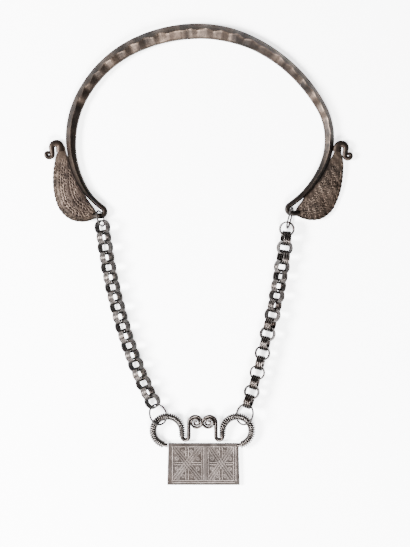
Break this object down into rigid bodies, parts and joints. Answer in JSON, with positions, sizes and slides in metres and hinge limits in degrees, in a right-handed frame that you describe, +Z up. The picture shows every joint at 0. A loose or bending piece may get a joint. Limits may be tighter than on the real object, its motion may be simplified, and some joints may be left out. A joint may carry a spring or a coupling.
{
  "type": "neck torque with chains and lock pendant",
  "caption": "Forged crescent neck torque with punched leaf ends, two chains of fluted round links and a rectangular lock-shaped pendant with wire-wound scroll arms, lying flat.",
  "frame": {"origin": "bottom centre of the whole laid-out piece, on the surface it lies on", "axes": "+X to the right, +Y from the pendant to the top of the crescent, +Z up from the surface"},
  "size_m": [0.1782, 0.2676, 0.0096],
  "materials": {
    "torque_silver": "tarnished hammered silver",
    "chain_silver": "dark tarnished silver",
    "lock_silver": "tarnished silver with worn high spots"
  },
  "bodies": {
    "root": {"torque": "torque_silver", "left_link_01": "chain_silver", "left_link_02": "chain_silver", "left_link_03": "chain_silver", "left_link_04": "chain_silver", "left_link_05": "chain_silver", "left_link_06": "chain_silver", "left_link_07": "chain_silver", "left_link_08": "chain_silver", "left_link_09": "chain_silver", "left_link_10": "chain_silver", "left_link_11": "chain_silver", "left_link_12": "chain_silver", "left_link_13": "chain_silver", "left_link_14": "chain_silver", "left_link_15": "chain_silver", "left_link_16": "chain_silver", "left_link_17": "chain_silver", "left_link_18": "chain_silver", "left_link_19": "chain_silver", "left_top_ring": "chain_silver", "left_lock_ring": "chain_silver", "left_coil": "lock_silver", "right_link_01": "chain_silver", "right_link_02": "chain_silver", "right_link_03": "chain_silver", "right_link_04": "chain_silver", "right_link_05": "chain_silver", "right_link_06": "chain_silver", "right_link_07": "chain_silver", "right_link_08": "chain_silver", "right_link_09": "chain_silver", "right_link_10": "chain_silver", "right_link_11": "chain_silver", "right_link_12": "chain_silver", "right_link_13": "chain_silver", "right_link_14": "chain_silver", "right_link_15": "chain_silver", "right_link_16": "chain_silver", "right_link_17": "chain_silver", "right_link_18": "chain_silver", "right_link_19": "chain_silver", "right_top_ring": "chain_silver", "right_lock_ring": "chain_silver", "right_coil": "lock_silver", "lock": "lock_silver"}
  },
  "joints": []
}
